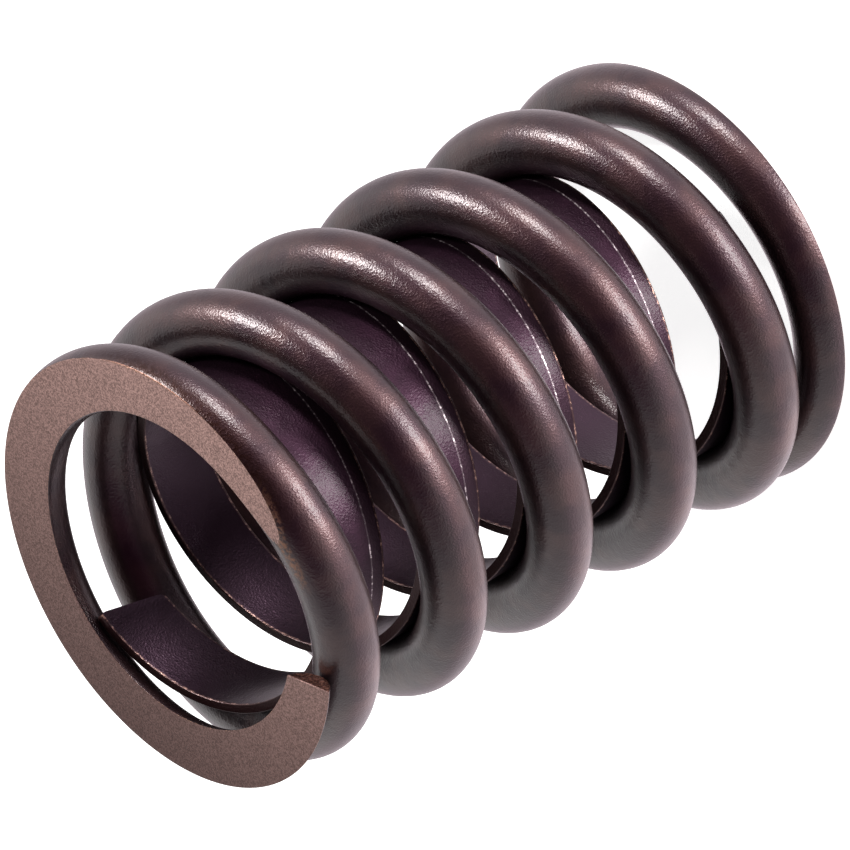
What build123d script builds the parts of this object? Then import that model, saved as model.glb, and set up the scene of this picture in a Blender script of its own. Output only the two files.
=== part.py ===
from build123d import *
import os
from math import cos, degrees, pi, radians, sin, tan

os.makedirs("parts", exist_ok=True)

# An engine valve spring that stands on its lower end, its axis along +Z and z = 0 at the floor.
# Sizes are in millimetres and degrees. Turns are counted down the wire from its upper tip.

# Outer spring: round wire, wound right-hand
outer_diameter = 37.1
wire_diameter = 5.2
free_length = 56.2
wire_turns = 6.2
wire_start_angle = 219.3

# Closed and ground ends
tip_thickness = 1.25
tip_gap = 0.1
closed_turns = 0.79
easing_turns = 0.09
tip_skew = 16.0
shear_margin = 1.0

# Damper: flat ribbon, wound left-hand
ribbon_width = 5.9
ribbon_thickness = 0.8
ribbon_corner = 0.6
damper_clearance = 0.05
damper_turns = 4.5375
damper_start_angle = 88.3
damper_top_gap = 0.7
damper_bottom_gap = 2.8
damper_tip_width = 3.6
damper_tip_skew = 18.4
damper_tip_trim = 0.1
damper_pitch_growth = 0.38

wire_radius = wire_diameter / 2
coil_radius = outer_diameter / 2 - wire_radius
end_rise = wire_radius - tip_thickness
opened_turns = closed_turns + easing_turns


# Winding of the outer spring
def opened_by_one_end(turn):
    """Turns of full opening gained after one end's closed turns, with a smooth start"""
    run = max(turn - closed_turns, 0)
    share = min(run / easing_turns, 1)
    return easing_turns * (share**3 - share**4 / 2) + max(run - easing_turns, 0)


def opened(turn):
    """Turns of full opening gained down to this turn, with both ends closed"""
    from_below = opened_by_one_end(wire_turns) - opened_by_one_end(wire_turns - turn)
    return opened_by_one_end(turn) + from_below - turn


# Two conditions set the pitches: the wire fills the free length, and each tip
# stands one wire and one gap from the next coil.
total_drop = free_length + 2 * end_rise
first_drop = wire_diameter + tip_gap
opening = (total_drop - first_drop * wire_turns) / (opened(wire_turns) - opened(1) * wire_turns)
closed_pitch = first_drop - opening * opened(1)
active_pitch = closed_pitch + opening


def wire_angle(turn):
    return radians(wire_start_angle) - 2 * pi * turn


def wire_height(turn):
    return free_length + end_rise - closed_pitch * turn - opening * opened(turn)


def wire_point(turn):
    angle = wire_angle(turn)
    return (coil_radius * cos(angle), coil_radius * sin(angle), wire_height(turn))


def wire_climb(turn, pitch):
    """The direction of the wire as it climbs"""
    angle = wire_angle(turn)
    return (-sin(angle), cos(angle), pitch / (2 * pi * coil_radius))


def placed_helix(angle, height, turns, pitch, radius, lefthand=False):
    """A climbing helix whose lower end lies at an angle and a height"""
    lower_end = Location((0, 0, height), (0, 0, degrees(angle)))
    return lower_end * Helix(pitch, pitch * turns, radius, lefthand=lefthand)


def even_stretch(lower_turn, upper_turn, pitch):
    """A stretch of the wire with one pitch"""
    return placed_helix(
        wire_angle(lower_turn), wire_height(lower_turn), lower_turn - upper_turn, pitch, coil_radius
    )


def easing_stretch(lower_turn, upper_turn, lower_pitch, upper_pitch):
    """The short stretch where one pitch passes smoothly into another"""
    steps = 4
    points = [wire_point(lower_turn + (upper_turn - lower_turn) * i / steps) for i in range(steps + 1)]
    climbs = (wire_climb(lower_turn, lower_pitch), wire_climb(upper_turn, upper_pitch))
    return Spline(*points, tangents=climbs)


wire_stretches = [
    even_stretch(wire_turns, wire_turns - closed_turns, closed_pitch),
    easing_stretch(wire_turns - closed_turns, wire_turns - opened_turns, closed_pitch, active_pitch),
    even_stretch(wire_turns - opened_turns, opened_turns, active_pitch),
    easing_stretch(opened_turns, closed_turns, active_pitch, closed_pitch),
    even_stretch(closed_turns, 0, closed_pitch),
]

with BuildPart() as outer_spring:
    with BuildLine() as wire_line:
        add(wire_stretches)
    with BuildSketch(Plane(origin=wire_point(wire_turns), z_dir=wire_climb(wire_turns, closed_pitch))):
        Circle(wire_radius)
    sweep(path=wire_line.line, is_frenet=True)

    # Both ends ground flat and square to the axis
    split(bisect_by=Plane.XY.offset(free_length), keep=Keep.BOTTOM)
    split(bisect_by=Plane.XY, keep=Keep.TOP)

    # Each tip sheared at a slant that starts at its outer corner, by a wedge clear of the next coil
    shear_depth = tip_thickness + tip_gap / 2
    wedge_reach = wire_diameter + 2 * shear_margin
    wedge_back = shear_margin * tan(radians(tip_skew))
    for turn, height, side in ((0, free_length - shear_depth / 2, 1), (wire_turns, shear_depth / 2, -1)):
        angle = wire_angle(turn)
        outward = (cos(angle), sin(angle), 0)
        with BuildSketch(Plane((0, 0, height), x_dir=outward, z_dir=(0, 0, 1))):
            with BuildLine():
                Polyline(
                    (outer_diameter / 2 + shear_margin, side * wedge_back),
                    (outer_diameter / 2 + shear_margin - wedge_reach, side * wedge_back),
                    (
                        outer_diameter / 2 + shear_margin - wedge_reach,
                        side * (wedge_back - wedge_reach * tan(radians(tip_skew))),
                    ),
                    close=True,
                )
            make_face()
        extrude(amount=shear_depth / 2, both=True, mode=Mode.SUBTRACT)

outer_spring.part.label = "outer_spring"
export_step(outer_spring.part, "parts/outer_spring.step")

# Winding of the damper, in whole turns from its upper end and a last part of a turn,
# where each opens a little more than the one above
damper_radius = coil_radius - wire_radius - damper_clearance - ribbon_thickness / 2
ribbon_top = free_length - damper_top_gap - ribbon_width / 2
ribbon_bottom = damper_bottom_gap + damper_tip_width - ribbon_width / 2
stretch_turns = [1.0] * int(damper_turns) + [damper_turns - int(damper_turns)]
growth_turns = sum(k * turns for k, turns in enumerate(stretch_turns))
first_pitch = (ribbon_top - ribbon_bottom - damper_pitch_growth * growth_turns) / damper_turns

ribbon_angle = radians(damper_start_angle)
ribbon_height = ribbon_top
ribbon_stretches = []
for k, turns in enumerate(stretch_turns):
    pitch = first_pitch + damper_pitch_growth * k
    ribbon_angle += 2 * pi * turns
    ribbon_height -= pitch * turns
    ribbon_stretches.insert(
        0, placed_helix(ribbon_angle, ribbon_height, turns, pitch, damper_radius, lefthand=True)
    )

with BuildPart() as damper:
    with BuildLine() as ribbon_line:
        add(ribbon_stretches)
    ribbon_foot = ribbon_stretches[0]
    outward = (cos(ribbon_angle), sin(ribbon_angle), 0)
    with BuildSketch(Plane(origin=ribbon_foot @ 0, x_dir=outward, z_dir=ribbon_foot % 0)):
        Rectangle(ribbon_thickness, ribbon_width)
    sweep(path=ribbon_line.line, is_frenet=True)

    # The lower end is trimmed level, so that its tip tapers
    split(bisect_by=Plane.XY.offset(damper_bottom_gap), keep=Keep.TOP)

    # The upper end is trimmed at a slant, most at its lower corner, and both corners are rounded off
    ribbon_head = ribbon_stretches[-1]
    head_angle = radians(damper_start_angle)
    outward = (cos(head_angle), sin(head_angle), 0)
    slant_half = ribbon_width / 2 + shear_margin
    slant_back = shear_margin * tan(radians(damper_tip_skew))
    slant_reach = ribbon_width * tan(radians(damper_tip_skew))
    with BuildSketch(Plane(origin=ribbon_head @ 1, x_dir=-(ribbon_head % 1), z_dir=outward)):
        with BuildLine():
            Polyline(
                (damper_tip_trim - slant_back, slant_half),
                (damper_tip_trim + slant_back + slant_reach, -slant_half),
                (-shear_margin, -slant_half),
                (-shear_margin, slant_half),
                close=True,
            )
        make_face()
    extrude(amount=ribbon_thickness, both=True, mode=Mode.SUBTRACT)
    upper_end = damper.faces().filter_by(GeomType.PLANE).sort_by(Axis.Z)[-1]
    fillet(upper_end.edges().sort_by(SortBy.LENGTH)[:2], ribbon_corner)

damper.part.label = "damper"
export_step(damper.part, "parts/damper.step")

for piece in (outer_spring.part, damper.part):
    print(piece.label, round(piece.volume), "mm3")
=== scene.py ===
import math

import bpy
import numpy as np
from mathutils import Matrix, Vector


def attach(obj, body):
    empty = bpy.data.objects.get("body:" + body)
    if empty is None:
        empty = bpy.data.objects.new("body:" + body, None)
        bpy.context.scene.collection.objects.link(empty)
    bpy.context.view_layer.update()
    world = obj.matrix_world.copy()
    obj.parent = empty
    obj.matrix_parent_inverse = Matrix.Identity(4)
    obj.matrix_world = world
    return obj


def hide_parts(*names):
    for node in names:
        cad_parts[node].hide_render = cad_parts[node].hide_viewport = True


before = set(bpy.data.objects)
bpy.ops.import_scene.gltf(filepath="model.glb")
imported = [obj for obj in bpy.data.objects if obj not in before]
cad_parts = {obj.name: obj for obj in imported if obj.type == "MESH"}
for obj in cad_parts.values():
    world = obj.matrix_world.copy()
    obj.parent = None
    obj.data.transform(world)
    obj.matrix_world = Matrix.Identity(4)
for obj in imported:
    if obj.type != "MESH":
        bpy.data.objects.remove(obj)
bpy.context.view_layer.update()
print("frame loaded, nodes:", sorted(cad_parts))

mm = 0.001  # shapes are worked out in millimetres and written in metres
hair = 1e-6  # mm, less than any real difference
sharpAngle = 32  # degrees; a sharper edge between two faces stays crisp


def hexColor(text):
    # sRGB hex to linear: c / 12.92 up to 0.04045, above it ((c + 0.055) / 1.055) ** 2.4
    values = [int(text[i:i + 2], 16) / 255 for i in (1, 3, 5)]
    return [c / 12.92 if c <= 0.04045 else ((c + 0.055) / 1.055) ** 2.4 for c in values] + [1.0]


def addNode(tree, kind, settings, *values, out=0):
    # settings name the node's properties and sockets, and values fill its first sockets in order.
    # A socket gets a number, a hex colour or another node's output. Gives back the output asked for.
    node = tree.nodes.new("ShaderNode" + kind)
    for name, value in (*settings.items(), *enumerate(values)):
        if isinstance(name, str) and hasattr(node, name):
            setattr(node, name, value)
        elif isinstance(value, bpy.types.NodeSocket):
            tree.links.new(value, node.inputs[name])
        else:
            node.inputs[name].default_value = hexColor(value) if isinstance(value, str) else value
    return node.outputs[out] if len(node.outputs) else node


# how a Map Range node goes from start to stop; its sockets are value, start, stop and what it gives at each
smooth = {"interpolation_type": "SMOOTHSTEP"}


def newMaterial(name):
    # an empty material, its tree, and the object coordinates there
    material = bpy.data.materials.new(name)
    material.use_nodes = True
    material.node_tree.nodes.clear()
    return material, material.node_tree, addNode(material.node_tree, "TexCoord", {}, out="Object")


def meshObject(name, points, faces, materials, slots=None):
    # points in millimetres, faces as a list of index arrays, slots the material of each face
    mesh = bpy.data.meshes.new(name)
    mesh.from_pydata((points * mm).tolist(), [], [row for block in faces for row in block.tolist()])
    for material in materials:
        mesh.materials.append(material)
    if slots is not None:
        mesh.polygons.foreach_set("material_index", slots.astype(np.int32))
    mesh.polygons.foreach_set("use_smooth", np.ones(len(mesh.polygons), bool))
    mesh.update()
    mesh.set_sharp_from_angle(angle=math.radians(sharpAngle))
    piece = bpy.data.objects.new(name, mesh)
    bpy.context.scene.collection.objects.link(piece)
    return piece


def pointAttribute(piece, name, values):
    layer = piece.data.attributes.new(name, "FLOAT", "POINT")
    layer.data.foreach_set("value", np.ascontiguousarray(values, np.float32).reshape(-1))


def gridFaces(rings, columns):
    # quads between neighbouring rings, each ring closed on itself
    i, j = np.meshgrid(np.arange(rings - 1), np.arange(columns), indexing="ij")
    k = (j + 1) % columns
    corners = [i * columns + j, i * columns + k, (i + 1) * columns + k, (i + 1) * columns + j]
    return np.stack(corners, -1).reshape(-1, 4)


def alongHelix(radius, x, y, angle, height, slope, hand):
    # a section point x outwards and y along the binormal, on a helix that climbs slope a turn; hand is +1
    # where it climbs anticlockwise (right-hand) and -1 where it climbs clockwise. With
    # climb = slope / (2 pi radius) and tilt = 1 / sqrt(1 + climb^2), the point stands y * tilt above the
    # centre line and y * climb * tilt back from it
    climb = slope / (2 * math.pi * radius)
    tilt = 1 / np.hypot(1, climb)
    rho = radius + x
    aside = -hand * y * climb * tilt
    return np.stack([
        rho * np.cos(angle) - aside * np.sin(angle),
        rho * np.sin(angle) + aside * np.cos(angle),
        height + y * tilt,
    ], -1)


# The outer spring: round wire wound right-hand, both ends closed, ground flat and sheared at a slant.
# Turns are counted down the wire from its upper tip.
wire = {
    "outerDiameter": 37.1,
    "wireDiameter": 5.2,
    "freeLength": 56.2,
    "turns": 6.2,
    "startAngle": 219.3,
    "tipThickness": 1.25,
    "tipGap": 0.1,
    "closedTurns": 0.79,
    "easingTurns": 0.09,
    "tipSkew": 16.0,
    "edgeRound": 0.06,
    "mostInset": 0.3,  # share of a narrow flat that its rounded edge may take
    "narrowestFlat": 8.0,  # degrees either side, where the round wire keeps a strip of flat columns
    "ringsPerTurn": 190,
    "arcColumns": 20,
    "flatColumns": 14,
    "noEdge": 9.0,  # mm, an edge distance that no mark reaches
}


def openedByOneEnd(turn):
    # turns of full opening after one end: easing * (x^3 - x^4 / 2) over the easing, then turn for turn
    run = np.maximum(turn - wire["closedTurns"], 0)
    share = np.minimum(run / wire["easingTurns"], 1)
    return wire["easingTurns"] * (share**3 - share**4 / 2) + np.maximum(run - wire["easingTurns"], 0)


def opened(turn):
    # turns of full opening down to this turn, with both ends closed
    turns = wire["turns"]
    return openedByOneEnd(turn) + openedByOneEnd(turns) - openedByOneEnd(turns - turn) - turn


def wireCentre(turn):
    # angle, height and fall a turn of the centre line; the pitches fill the free length
    # and leave each tip one wire and one gap from the next coil
    turns = wire["turns"]
    rise = wire["wireDiameter"] / 2 - wire["tipThickness"]
    drop = wire["wireDiameter"] + wire["tipGap"]
    total = wire["freeLength"] + 2 * rise
    opening = (total - drop * turns) / (opened(turns) - opened(1.0) * turns)
    closedPitch = drop - opening * opened(1.0)
    height = wire["freeLength"] + rise - closedPitch * turn - opening * opened(turn)
    step = 1e-4
    slope = closedPitch + opening * (opened(turn + step) - opened(turn - step)) / (2 * step)
    return math.radians(wire["startAngle"]) - 2 * math.pi * turn, height, slope


def wireColumns():
    # for each column of the section: is it on a flat, on which side (+1 top, -1 bottom),
    # its share along the flat or the arc, and is it a flat's rim
    flats, arcs = wire["flatColumns"], wire["arcColumns"]
    flatShare = np.concatenate([[-1], np.linspace(-1, 1, flats - 2), [1]])
    rim = np.zeros(flats, bool)
    rim[[0, -1]] = True
    share = np.concatenate([flatShare, np.linspace(0, 1, arcs)] * 2)
    isFlat = np.concatenate([np.ones(flats, bool), np.zeros(arcs, bool)] * 2)
    isRim = np.concatenate([rim, np.zeros(arcs, bool)] * 2)
    side = np.repeat([1.0, -1.0], flats + arcs)
    return isFlat[None], side[None], share[None], isRim[None]


def wireSection(height, tilt):
    # the circle x^2 + y^2 = radius^2 cut by the two ground planes: x outwards, y along the binormal,
    # rings by columns. It runs over the top flat inwards, down the bore side, back along the bottom flat
    # and up the outer side
    radius = wire["wireDiameter"] / 2
    isFlat, side, share, isRim = wireColumns()
    top = np.clip((wire["freeLength"] - height) / tilt, -radius, radius)
    bottom = np.clip(height / tilt, -radius, radius)
    narrowest = math.radians(wire["narrowestFlat"])
    topHalf, bottomHalf = (np.maximum(np.arccos(reach / radius), narrowest) for reach in (top, bottom))
    own = np.where(side > 0, topHalf, bottomHalf)
    other = np.where(side > 0, bottomHalf, topHalf)
    limit = np.where(side > 0, top, bottom)
    wide = radius * np.sin(own)
    inset = np.clip(wire["edgeRound"] / wide, 0, wire["mostInset"])
    place = np.where(isRim, share, share * (1 - inset))
    flatX = -place * wide * side
    flatY = np.minimum(np.sqrt(np.maximum(radius**2 - flatX**2, 0)), limit)
    flatY = side * np.where(own > math.pi / 2, limit, flatY)
    start = math.pi / 2 * side + own
    sweep = math.pi - own - other
    inset = wire["edgeRound"] / radius / sweep
    arcPlace = inset + share * (1 - 2 * inset)
    arc = start + arcPlace * sweep
    x = np.where(isFlat, flatX, radius * np.cos(arc))
    y = np.where(isFlat, flatY, radius * np.sin(arc))
    ground = isFlat & (limit < radius - hair) & (np.abs(flatY) >= limit - hair)
    # distances along the section from the nearer flat's outer edge and from its inner edge
    flatOuter, flatInner = (1 + place * side) * wide, (1 - place * side) * wide
    alongArc = np.minimum(arcPlace * sweep * radius, (1 - arcPlace) * sweep * radius)
    outerEdge = np.where(isFlat, flatOuter, np.where(side > 0, wire["noEdge"], alongArc))
    innerEdge = np.where(isFlat, flatInner, np.where(side > 0, alongArc, wire["noEdge"]))
    return x, y, ground, outerEdge, innerEdge


def wirePoints(turn):
    # the section carried along the centre line, and each point's distance from the axis
    radius = wire["outerDiameter"] / 2 - wire["wireDiameter"] / 2
    angle, height, slope = wireCentre(turn)
    tilt = 1 / np.hypot(1, slope / (2 * math.pi * radius))
    x, y, ground, outerEdge, innerEdge = wireSection(height, tilt)
    return alongHelix(radius, x, y, angle, height, slope, 1), radius + x, ground, outerEdge, innerEdge


def buildWire(materials):
    turns, flats = wire["turns"], wire["flatColumns"]
    columns = 2 * (flats + wire["arcColumns"])
    rings = int(turns * wire["ringsPerTurn"])
    # each tip is cut at a slant that starts at its outer corner:
    # turns = (outer radius - rho) / rho * tan(skew) / (2 pi)
    slant = math.tan(math.radians(wire["tipSkew"])) / (2 * math.pi)
    rho = wirePoints(np.zeros((1, columns)))[1]
    startCut = (wire["outerDiameter"] / 2 - rho) / rho * slant
    rho = wirePoints(np.full((1, columns), turns))[1]
    endCut = turns - (wire["outerDiameter"] / 2 - rho) / rho * slant
    lip = wire["edgeRound"] / (math.pi * wire["outerDiameter"])
    share = np.concatenate([[0], np.linspace(lip, turns - lip, rings - 2), [turns]])[:, None] / turns
    turn = startCut * (1 - share) + endCut * share
    points, rho, ground, outerEdge, innerEdge = wirePoints(turn)
    # the rims of the flats are rounded by going halfway to the middle of their neighbours,
    # and each tip's rim is drawn inwards
    rims = np.flatnonzero(wireColumns()[3][0])
    beside = points[:, (rims - 1) % columns] + points[:, (rims + 1) % columns]
    points[:, rims] = points[:, rims] * 0.5 + beside * 0.25
    for i in (0, -1):
        arm = points[i] - points[i].mean(0)
        points[i] -= arm * wire["edgeRound"] / np.linalg.norm(arm, axis=1, keepdims=True)
    quads = gridFaces(rings, columns)
    caps = [np.arange(columns)[None, ::-1], np.arange(columns)[None] + (rings - 1) * columns]
    onFace = ground.reshape(-1)[quads].sum(1) > 2  # three or four of the corners
    slots = np.concatenate([onFace.astype(int), [2, 2]])
    piece = meshObject("wireCoil", points.reshape(-1, 3), [quads] + caps, materials, slots)
    pointAttribute(piece, "outerEdge", outerEdge)
    pointAttribute(piece, "innerEdge", innerEdge)
    pointAttribute(piece, "turnAlong", turn)
    return piece


# The damper: flat ribbon wound left-hand, its lower end trimmed level and its upper end at a slant
ribbon = {
    "width": 5.9,
    "thickness": 0.8,
    "edgeRound": 0.1,
    "cornerRound": 0.6,
    "clearance": 0.0,  # it is pressed against the coils
    "turns": 4.5375,
    "startAngle": 88.3,
    "topGap": 0.7,
    "bottomGap": 2.8,
    "tipWidth": 3.6,
    "tipSkew": 18.4,
    "tipTrim": 0.1,
    "pitchGrowth": 0.38,
    "ringsPerTurn": 170,
    "faceColumns": 22,
    "cornerColumns": 3,
}


def ribbonCentre(turn):
    # height = top - first * t - growth * t * (t - 1) / 2, so that each turn opens by the growth
    top = wire["freeLength"] - ribbon["topGap"] - ribbon["width"] / 2
    bottom = ribbon["bottomGap"] + ribbon["tipWidth"] - ribbon["width"] / 2
    growth, whole = ribbon["pitchGrowth"], int(ribbon["turns"])
    grown = growth * (whole * (whole - 1) / 2 + whole * (ribbon["turns"] - whole))
    first = (top - bottom - grown) / ribbon["turns"]
    height = top - first * turn - growth * turn * (turn - 1) / 2
    return math.radians(ribbon["startAngle"]) + 2 * math.pi * turn, height, first + growth * (turn - 0.5)


def buildRibbon(material):
    rings = int(ribbon["turns"] * ribbon["ringsPerTurn"])
    bore = wire["outerDiameter"] / 2 - wire["wireDiameter"]
    radius = bore - ribbon["clearance"] - ribbon["thickness"] / 2
    half, thick, r = ribbon["width"] / 2, ribbon["thickness"] / 2, ribbon["edgeRound"]
    # the section: up the inner face, over the upper edge, down the outer face and under the lower edge,
    # with corners that are quarters of a circle of radius r
    face = np.linspace(-1, 1, ribbon["faceColumns"])
    corner = np.linspace(0, np.pi / 2, ribbon["cornerColumns"] + 2)[1:-1]
    flat, turned = np.ones(len(face)), np.ones(2 * len(corner))
    inCurve, outCurve = r * (1 - np.cos(corner)), r * (1 - np.sin(corner))
    xs = np.concatenate([
        -thick * flat, -thick + inCurve, thick - outCurve,
        thick * flat, thick - inCurve, -thick + outCurve,
    ])
    side = np.concatenate([face, turned, -face, -turned])
    inset = np.concatenate([r * flat, outCurve, inCurve, r * flat, outCurve, inCurve])
    # the upper end starts later towards its lower edge, and at its corners by c - sqrt(c^2 - overlap^2)
    skew = math.tan(math.radians(ribbon["tipSkew"]))
    across = side * (half - inset)
    overlap = np.clip(np.abs(across) - (half - ribbon["cornerRound"]), 0, ribbon["cornerRound"])
    late = ribbon["tipTrim"] + (half - across) * skew + ribbon["cornerRound"]
    late = late - np.sqrt(ribbon["cornerRound"]**2 - overlap**2)
    share = np.linspace(0, 1, rings)[:, None]
    turn = late / (2 * math.pi * radius) * (1 - share) + ribbon["turns"] * share
    angle, height, slope = ribbonCentre(turn)
    tilt = 1 / np.hypot(1, slope / (2 * math.pi * radius))
    lowest = np.maximum(-half, (ribbon["bottomGap"] - height) / tilt)
    y = side * (np.where(side > 0, half, -lowest) - inset)
    x = np.tile(xs, (rings, 1))
    # the two ends are drawn in by half a corner, so that their rims catch the light
    x[[0, -1]] *= 1 - r / thick * 0.5
    points = alongHelix(radius, x, y, angle, height, slope, -1)
    columns = len(xs)
    # the ends are closed by quads between the inner face and the outer one
    left = (np.arange(len(face) + 2 * len(corner) - 1) - len(corner)) % columns
    right = (2 * len(face) + 3 * len(corner) - 1 - np.arange(len(left))) % columns
    cap = np.stack([left, (left + 1) % columns, (right - 1) % columns, right], -1)
    faces = [gridFaces(rings, columns), cap[:, ::-1], cap + (rings - 1) * columns]
    piece = meshObject("ribbonCoil", points.reshape(-1, 3), faces, [material])
    pointAttribute(piece, "rimDistance", np.broadcast_to(half - np.abs(across), turn.shape))
    pointAttribute(piece, "outwards", x)
    pointAttribute(piece, "fromLower", y - lowest)
    return piece


# Looks of the wire: chrome-silicon spring steel, shot-peened and oiled. Peening leaves a pebbled grain of
# overlapping dents, the oil film over it gives a soft white gloss, and the brown oxide under it a bronze
# haze. Sizes and depths are in millimetres.
wireFinish = {
    "oxide": "#422d2e",
    "oxideDark": "#301e24",
    "oxideRoughness": 0.45,
    "oilRoughness": 0.25,
    "oilWeight": 1.0,
    "peenSize": 0.18,  # dents of fine shot
    "peenDepth": 0.013,
    "grainSize": 0.12,
    "grainDepth": 0.013,
    "grainRoughness": 0.6,
    "swellSize": 0.9,
    "swellDepth": 0.02,
    "patchSize": 3.5,
    "patchFade": (0.35, 0.65),
}


def peenedSteel(tree, place, finish):
    # gives the bump, whose height is depth * dent distance squared + depth * grain + depth * swell,
    # and the colour of the oxide
    dent, grain, swell, patch = (
        addNode(tree, kind, {"Vector": place, "Scale": 1 / (finish[size] * mm), **more})
        for kind, size, more in (
            ("TexVoronoi", "peenSize", {}),
            ("TexNoise", "grainSize", {"Roughness": finish["grainRoughness"]}),
            ("TexNoise", "swellSize", {"Detail": 1.0}),
            ("TexNoise", "patchSize", {"Detail": 3.0}),
        ))
    bowl = addNode(tree, "Math", {"operation": "MULTIPLY"}, dent, dent)
    height = addNode(tree, "Math", {"operation": "MULTIPLY"}, bowl, finish["peenDepth"] * mm)
    for layer, depth in ((grain, "grainDepth"), (swell, "swellDepth")):
        height = addNode(
            tree, "Math", {"operation": "MULTIPLY_ADD"}, layer, finish[depth] * mm, height)
    bump = addNode(tree, "Bump", {"Strength": 1.0, "Distance": 1.0, "Height": height})
    patch = addNode(tree, "MapRange", smooth, patch, *finish["patchFade"])
    color = addNode(tree, "Mix", {
        "data_type": "RGBA", 0: patch, 6: finish["oxideDark"], 7: finish["oxide"]}, out=2)
    return bump, color


def markBeside(tree, turn, turns, edge, fade):
    # a mark along an edge: it rises over the first two turns, falls over the last two
    # and fades away from the edge
    rise = addNode(tree, "MapRange", smooth, turn, *turns[:2])
    fall = addNode(tree, "MapRange", smooth, turn, *turns[2:], 1.0, 0.0)
    near = addNode(tree, "MapRange", smooth, edge, *fade)
    along = addNode(tree, "Math", {"operation": "MULTIPLY"}, rise, fall)
    return addNode(tree, "Math", {"operation": "MULTIPLY"}, along, near)


# Marks where the grinding wheel ran out: turns along the wire, and millimetres from the face's outer edge
wireMarks = {
    "band": "#2a1612",  # pitted, red-brown and half dry, and made wide and dark as painted shade for the dark room it reflects
    "bandTurns": (0.62, 0.72, 0.84, 0.92),
    "bandFade": (1.9, 0.2),
    "pitsAndShadeThinnest": 0.6,
    "pitsAndShadeDry": 0.6,
    "streak": "#8c6855",  # brown streaks beside the thin end of the face
    "streakTurns": (0.83, 0.86, 0.9, 0.93),
    "streakFade": (0.7, 0.3),
    "streakStrength": 0.75,
    "burr": "#7c584a",
    "burrTurns": (0.67, 0.69, 0.76, 0.775),
    "burrFade": (0.08, 0.05),
    "breakSize": 0.35,
    "breakFade": (0.4, 0.6),
}
wireMaterial, tree, place = newMaterial("shotPeenedSpringWire")
bump, color = peenedSteel(tree, place, wireFinish)
turnAlong, outerEdge = (
    addNode(tree, "Attribute", {"attribute_name": name}, out="Fac")
    for name in ("turnAlong", "outerEdge"))
# the first mark is partly painted shade: its dark band beside the face stands for the dark side of the room
# in the wire's reflection
band, streak, burr = (
    markBeside(tree, turnAlong, wireMarks[mark + "Turns"], outerEdge, wireMarks[mark + "Fade"])
    for mark in ("band", "streak", "burr"))
broken = addNode(tree, "TexNoise", {
    "Vector": place, "Scale": 1 / (wireMarks["breakSize"] * mm), "Detail": 3.0, "Roughness": 0.7})
broken = addNode(tree, "MapRange", smooth, broken, *wireMarks["breakFade"])
pitted = addNode(tree, "MapRange", smooth, broken, 0.0, 1.0, wireMarks["pitsAndShadeThinnest"], 1.0)
band = addNode(tree, "Math", {"operation": "MULTIPLY"}, band, pitted)
broken = addNode(tree, "Math", {"operation": "MULTIPLY"}, broken, wireMarks["streakStrength"])
streak = addNode(tree, "Math", {"operation": "MULTIPLY"}, streak, broken)
for mark, paint in ((band, "band"), (streak, "streak"), (burr, "burr")):
    color = addNode(tree, "Mix", {"data_type": "RGBA", 0: mark, 6: color, 7: wireMarks[paint]}, out=2)
dry = addNode(tree, "Math", {"operation": "MULTIPLY"}, band, wireMarks["pitsAndShadeDry"])
dry = addNode(tree, "Math", {"operation": "MAXIMUM"}, dry, streak)
oil = addNode(tree, "Math", {"operation": "SUBTRACT"}, wireFinish["oilWeight"], dry)
shader = addNode(tree, "BsdfPrincipled", {
    "Metallic": 1.0,
    "Base Color": color,
    "Roughness": wireFinish["oxideRoughness"],
    "Normal": bump,
    "Coat Weight": oil,
    "Coat Roughness": wireFinish["oilRoughness"],
    "Coat Normal": bump,
})
addNode(tree, "OutputMaterial", {"Surface": shader})

# The ground ends: bare steel cut by a coarse wheel, with a thin bronze stain over its grit marks,
# so that they look matt and sandy beside the glossy wire
faceFinish = {
    # the stain's colours at the lit end and at the shaded end of its painted light
    "stainPaintedLit": "#c8a59c",
    "stainPaintedShade": "#725a56",
    "paintedLightTowards": (0.57, -0.82, 0),  # painted light: the stain is drawn lighter this way and darker the other way
    "roughness": 0.6,
    "gritSize": 0.14,
    "gritDepth": 0.06,
    "gritFade": (0.32, 0.68, 0.65, 0.0),
    "pit": "#3a2a26",
    "pitSize": 1.3,
    "pitFade": (0.71, 0.75),
    "burr": "#9c7866",  # burrs and bright nicks along both edges
    "burrDepth": 0.05,
    "burrFade": (0.16, 0.08),
    "burrThinnest": 0.4,
    "burrShine": 0.25,
    "edgeFade": (0.1, 0.02),
    "nickSize": 0.3,
    "nickFade": (0.5, 0.62),
}
faceMaterial, tree, place = newMaterial("groundSteelFace")
grit, nicks, pits = (
    addNode(tree, "TexNoise", {
        "Vector": place, "Scale": 1 / (faceFinish[size] * mm), "Detail": detail, "Roughness": rough})
    for size, detail, rough in (("gritSize", 2.0, 0.7), ("nickSize", 2.0, 0.7), ("pitSize", 4.0, 0.8)))
shade = addNode(tree, "MapRange", smooth, grit, *faceFinish["gritFade"])
nicks = addNode(tree, "MapRange", smooth, nicks, *faceFinish["nickFade"])
pits = addNode(tree, "MapRange", smooth, pits, *faceFinish["pitFade"])
turnAlong, outerEdge, innerEdge = (
    addNode(tree, "Attribute", {"attribute_name": name}, out="Fac")
    for name in ("turnAlong", "outerEdge", "innerEdge"))
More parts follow.
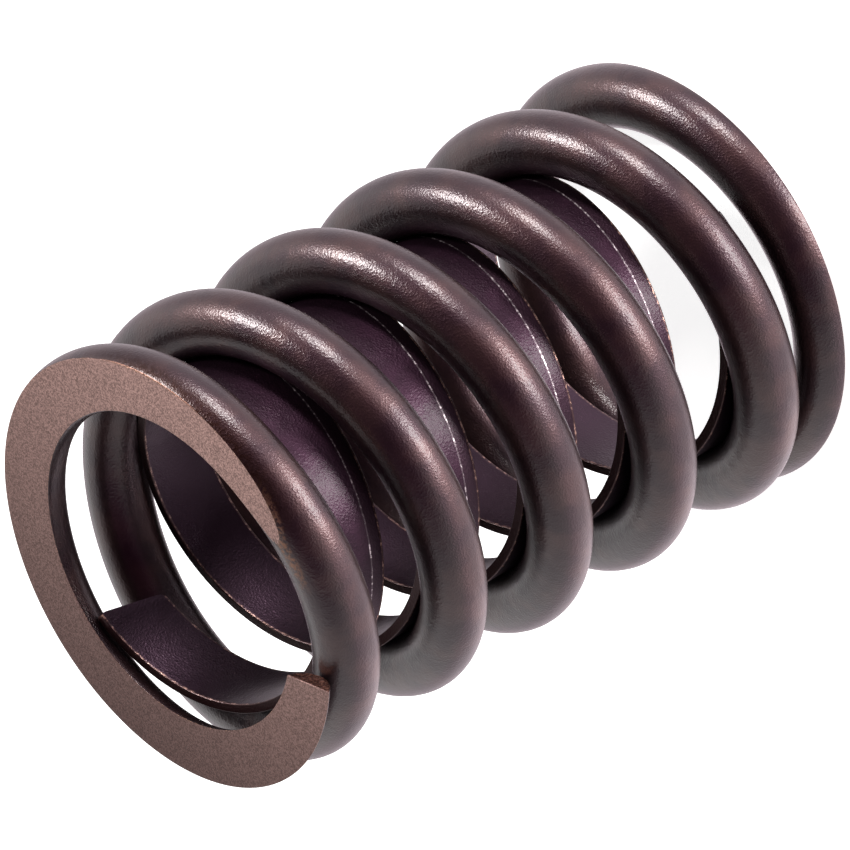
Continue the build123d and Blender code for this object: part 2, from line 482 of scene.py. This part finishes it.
# painted light: across the face the stain runs from its shaded to its lit colour, as if one lamp lit one
# side
along = addNode(
    tree, "VectorMath", {"operation": "DOT_PRODUCT"}, place, faceFinish["paintedLightTowards"], out="Value")
reach = wire["outerDiameter"] / 2 * mm
pale = addNode(tree, "MapRange", {"Value": along, "From Min": -reach, "From Max": reach})
edge = addNode(tree, "Math", {"operation": "MINIMUM"}, outerEdge, innerEdge)
rim = addNode(tree, "MapRange", smooth, edge, *faceFinish["edgeFade"])
rim = addNode(tree, "Math", {"operation": "MULTIPLY"}, rim, nicks)
burr = markBeside(tree, turnAlong, wireMarks["burrTurns"], outerEdge, faceFinish["burrFade"])
ragged = addNode(tree, "MapRange", smooth, nicks, 0.0, 1.0, faceFinish["burrThinnest"], 1.0)
burr = addNode(tree, "Math", {"operation": "MULTIPLY"}, burr, ragged)
rim = addNode(tree, "Math", {"operation": "MAXIMUM"}, rim, burr)
color = addNode(tree, "Mix", {
    "data_type": "RGBA", 0: pale, 6: faceFinish["stainPaintedShade"], 7: faceFinish["stainPaintedLit"]}, out=2)
for mark, paint in ((shade, "pit"), (pits, "pit"), (rim, "burr")):
    color = addNode(tree, "Mix", {"data_type": "RGBA", 0: mark, 6: color, 7: faceFinish[paint]}, out=2)
burrDepth, gritDepth = faceFinish["burrDepth"] * mm, faceFinish["gritDepth"] * mm
depth = addNode(tree, "Math", {"operation": "MULTIPLY_ADD"}, rim, burrDepth, gritDepth)
height = addNode(tree, "Math", {"operation": "MULTIPLY"}, grit, depth)
bump = addNode(tree, "Bump", {"Strength": 1.0, "Distance": 1.0, "Height": height})
rough = addNode(
    tree, "Math", {"operation": "MULTIPLY_ADD"}, rim, -faceFinish["burrShine"], faceFinish["roughness"])
shader = addNode(tree, "BsdfPrincipled", {
    "Metallic": 1.0,
    "Base Color": color,
    "Roughness": rough,
    "Normal": bump,
})
addNode(tree, "OutputMaterial", {"Surface": shader})

# The sheared tips: torn steel gone red-brown, rough enough to glint at its ridges
tipFinish = {
    "hollow": "#3c2420",
    "ridge": "#8a6154",
    "roughness": 0.4,
    "tearSize": 0.25,
    "tearDepth": 0.15,
    "tearFade": (0.4, 0.65),
}
tipMaterial, tree, place = newMaterial("shearedSteelTip")
tear = addNode(tree, "TexNoise", {
    "Vector": place, "Scale": 1 / (tipFinish["tearSize"] * mm), "Detail": 3.0, "Roughness": 0.7})
bump = addNode(tree, "Bump", {"Strength": 1.0, "Distance": tipFinish["tearDepth"] * mm, "Height": tear})
torn = addNode(tree, "MapRange", smooth, tear, *tipFinish["tearFade"])
color = addNode(tree, "Mix", {
    "data_type": "RGBA", 0: torn, 6: tipFinish["hollow"], 7: tipFinish["ridge"]}, out=2)
shader = addNode(tree, "BsdfPrincipled", {
    "Metallic": 1.0,
    "Base Color": color,
    "Roughness": tipFinish["roughness"],
    "Normal": bump,
})
addNode(tree, "OutputMaterial", {"Surface": shader})

# The damper: rolled strip of the same steel. Its corners are nicked bright. On its outer face, painted
# shade darkens a band along the lower edge where the coils cast their shadow, and a painted highlight, a
# line of bright specks, ends it where a ridge would glint. Outside it is nearly dry, inside it is oily.
ribbonFinish = dict(wireFinish, oxide="#2e1b28", oxideDark="#261621", patchSize=2.5)
ribbonMarks = {
    "inner": "#321d2d",
    "innerRoughness": 0.34,
    "innerOil": 0.65,
    "innerFade": (-0.3, -0.39),  # mm outwards from the middle of the ribbon, whose faces lie 0.4 from it
    "outerRoughness": 0.5,
    "outerOil": 0.3,
    "outerFade": (0.3, 0.39),
    # painted shade for the coils' shadow by the lower edge, and at its end a painted highlight for a
    # ridge's glint
    "rubbed": "#2c1c26",
    "paintedCoilShadowFade": (1.3, 1.15),  # mm from the lower edge
    "line": "#d8ccd0",
    "paintedGlintFade": (0.09, 0.03),
    "rim": "#341f20",
    "rimFade": (0.15, 0.05),
    "nick": "#c9a294",
    "nickSize": 0.5,
    "nickFade": (0.48, 0.66, 0.08, 1.0),
    "cornerFade": (0.24, 0.16),
    "tipFade": (0.02, 0.1),
}
ribbonMaterial, tree, place = newMaterial("rolledSpringStrip")
bump, color = peenedSteel(tree, place, ribbonFinish)
rimDistance, outwards, fromLower = (
    addNode(tree, "Attribute", {"attribute_name": name}, out="Fac")
    for name in ("rimDistance", "outwards", "fromLower"))
nicks = addNode(tree, "TexNoise", {
    "Vector": place, "Scale": 1 / (ribbonMarks["nickSize"] * mm), "Detail": 4.0, "Roughness": 0.75})
# painted highlight: distance from the line of bright specks that stands for a ridge's glint at the edge of
# the painted shade
offPaintedGlint = addNode(tree, "Math", {"operation": "SUBTRACT"}, fromLower, ribbonMarks["paintedCoilShadowFade"][0])
offPaintedGlint = addNode(tree, "Math", {"operation": "ABSOLUTE"}, offPaintedGlint)
nicks, rim, corner, tip, outerFace, innerFace, rubbed, line = (
    addNode(tree, "MapRange", smooth, value, *ribbonMarks[fade]) for value, fade in (
        (nicks, "nickFade"), (rimDistance, "rimFade"), (rimDistance, "cornerFade"),
        (rimDistance, "tipFade"), (outwards, "outerFade"), (outwards, "innerFade"),
        (fromLower, "paintedCoilShadowFade"), (offPaintedGlint, "paintedGlintFade")))
corner, rubbed, line = (
    addNode(tree, "Math", {"operation": "MULTIPLY"}, mark, where)
    for mark, where in ((corner, tip), (rubbed, outerFace), (line, outerFace)))
corner, line = (addNode(tree, "Math", {"operation": "MULTIPLY"}, mark, nicks) for mark in (corner, line))
for mark, paint in (
        (innerFace, "inner"), (rubbed, "rubbed"), (rim, "rim"), (corner, "nick"), (line, "line")):
    color = addNode(tree, "Mix", {"data_type": "RGBA", 0: mark, 6: color, 7: ribbonMarks[paint]}, out=2)
rough, oil = (
    addNode(tree, "MapRange", {
        "Value": innerFace, "To Min": ribbonMarks["outer" + name], "To Max": ribbonMarks["inner" + name]})
    for name in ("Roughness", "Oil"))
shader = addNode(tree, "BsdfPrincipled", {
    "Metallic": 1.0,
    "Base Color": color,
    "Roughness": rough,
    "Normal": bump,
    "Coat Weight": oil,
    "Coat Roughness": ribbonFinish["oilRoughness"],
    "Coat Normal": bump,
})
addNode(tree, "OutputMaterial", {"Surface": shader})

coil = buildWire([wireMaterial, faceMaterial, tipMaterial])
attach(coil, "root")
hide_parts("outer_spring")
print("outer spring built:", len(coil.data.polygons), "faces")

strip = buildRibbon(ribbonMaterial)
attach(strip, "root")
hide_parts("damper")
print("damper built:", len(strip.data.polygons), "faces")

# The camera, placed by a fit of the coils to the photograph: degrees and millimetres
view = {
    "elevation": 33.963,
    "roll": -120.29,
    "sideways": 0.193,
    "upwards": -0.378,
    "distance": 780.6,
    "lens": 420.9,
    "sensor": 36,
    "clipEnd": 50,  # metres
}
elevation, roll = math.radians(view["elevation"]), math.radians(view["roll"])
forward = Vector((0, math.cos(elevation), -math.sin(elevation)))
level = Vector((0, math.sin(elevation), math.cos(elevation)))
camRight = Vector((1, 0, 0)) * math.cos(roll) + level * math.sin(roll)
camUp = level * math.cos(roll) - Vector((1, 0, 0)) * math.sin(roll)
middle = Vector((0, 0, wire["freeLength"] / 2))
eye = middle - camRight * view["sideways"] + camUp * view["upwards"] - forward * view["distance"]
cameraData = bpy.data.cameras.new("camera")
cameraData.lens = view["lens"]
cameraData.sensor_width = view["sensor"]
cameraData.clip_end = view["clipEnd"]
camera = bpy.data.objects.new("camera", cameraData)
turned = Matrix((camRight, camUp, -forward)).transposed().to_4x4()
camera.matrix_world = Matrix.Translation(eye * mm) @ turned
bpy.context.scene.collection.objects.link(camera)
bpy.context.scene.camera = camera

# Lamps, as the photo's highlights place them: azimuth from +X and elevation in degrees, metres and watts.
# Those below the horizon shine up through the floor, which casts no shadow.
lamps = {
    "keySoftbox": {"azimuth": -1, "elevation": 34, "size": 0.15, "power": 3.5},
    "topSoftbox": {"azimuth": 321, "elevation": -5, "size": 0.12, "power": 3.2},
    "sideSoftbox": {"azimuth": 266, "elevation": -32, "size": 0.14, "power": 5.9},
    "fillCard": {"azimuth": 188, "elevation": -42, "size": 0.38, "power": 7.0},
}
lampDistance = 0.6
lampColor = "#fffcfa"
for name, lamp in lamps.items():
    data = bpy.data.lights.new(name, "AREA")
    data.shape = "DISK"
    data.size = lamp["size"]
    data.energy = lamp["power"]
    data.color = hexColor(lampColor)[:3]
    item = bpy.data.objects.new(name, data)
    azimuth, height = math.radians(lamp["azimuth"]), math.radians(lamp["elevation"])
    direction = Vector((
        math.cos(height) * math.cos(azimuth), math.cos(height) * math.sin(azimuth), math.sin(height)))
    item.location = middle * mm + direction * lampDistance
    item.rotation_euler = direction.to_track_quat("Z", "Y").to_euler()
    bpy.context.scene.collection.objects.link(item)


def rayKinds(tree):
    # 1 for a glossy ray, and 1 for one that the camera sends, straight or through glass
    path = addNode(tree, "LightPath", {}).node.outputs
    seen = addNode(
        tree, "Math", {"operation": "MAXIMUM"}, path["Is Camera Ray"], path["Is Transmission Ray"])
    return path["Is Glossy Ray"], seen


# Floor: pale paper that keeps the spring's shadow, white where the camera or a reflection meets it
floorLook = {
    "size": 6.0,
    "paper": "#f2f2f2",
    "glow": 0.8,
    "brightTowards": (-0.45, -0.9, 0),
    "mirroredColor": "#fff0f8",
    "mirroredFade": (-0.07, 0.02, 0.74, 1.0),  # metres from the axis towards the bright side, and strengths
}
edge = floorLook["size"] / 2
floorMesh = bpy.data.meshes.new("studioFloor")
corners = [(-edge, -edge, 0), (edge, -edge, 0), (edge, edge, 0), (-edge, edge, 0)]
floorMesh.from_pydata(corners, [], [(0, 1, 2, 3)])
floor = bpy.data.objects.new("studioFloor", floorMesh)
bpy.context.scene.collection.objects.link(floor)
floorMaterial, tree, place = newMaterial("whitePaperSweep")
glossy, seen = rayKinds(tree)
paper = addNode(tree, "BsdfDiffuse", {"Color": floorLook["paper"]})
glow = addNode(tree, "Math", {"operation": "MULTIPLY"}, seen, floorLook["glow"])
glow = addNode(tree, "Emission", {"Strength": glow})
paper = addNode(tree, "AddShader", {}, paper, glow)
along = addNode(
    tree, "VectorMath", {"operation": "DOT_PRODUCT"}, place, floorLook["brightTowards"], out="Value")
mirrored = addNode(tree, "MapRange", smooth, along, *floorLook["mirroredFade"])
mirrored = addNode(tree, "Emission", {"Color": floorLook["mirroredColor"], "Strength": mirrored})
surface = addNode(tree, "MixShader", {}, glossy, paper, mirrored)
addNode(tree, "OutputMaterial", {"Surface": surface})
floorMesh.materials.append(floorMaterial)
floor.visible_shadow = False

# World: pale to the camera, and to reflections a pale room with a dark, plum-brown side above the camera
room = {
    "darkTowards": (0.159, -0.595, 0.788),
    "darkFade": (0.97, 0.25),
    "dark": 0.07,
    "pale": 0.95,
    "darkColor": "#cc7cae",
    "paleColor": "#ffffff",
    "colorFade": (0.9, 0.4),
    "shown": 0.8,
    "light": 0.48,
}
world = bpy.data.worlds.new("studio")
bpy.context.scene.world = world
world.use_nodes = True
tree = world.node_tree
tree.nodes.clear()
direction = addNode(tree, "TexCoord", {}, out="Generated")
facing = addNode(
    tree, "VectorMath", {"operation": "DOT_PRODUCT"}, direction, room["darkTowards"], out="Value")
glossy, seen = rayKinds(tree)
strength = addNode(tree, "MapRange", {
    "Value": facing, "From Min": room["darkFade"][0], "From Max": room["darkFade"][1],
    "To Min": room["dark"], "To Max": room["pale"]})
tint = addNode(tree, "MapRange", smooth, facing, *room["colorFade"])
tint = addNode(tree, "Mix", {
    "data_type": "RGBA", 0: tint, 6: room["darkColor"], 7: room["paleColor"]}, out=2)
mirrored = addNode(tree, "Background", {"Color": tint, "Strength": strength})
shown = addNode(tree, "Background", {"Color": room["paleColor"], "Strength": room["shown"]})
dim = addNode(tree, "Background", {"Color": room["paleColor"], "Strength": room["light"]})
unseen = addNode(tree, "MixShader", {}, glossy, dim, mirrored)
surface = addNode(tree, "MixShader", {}, seen, unseen, shown)
addNode(tree, "OutputWorld", {"Surface": surface})

bpy.context.scene.view_settings.view_transform = "Standard"
print("camera, lamps and stage set")
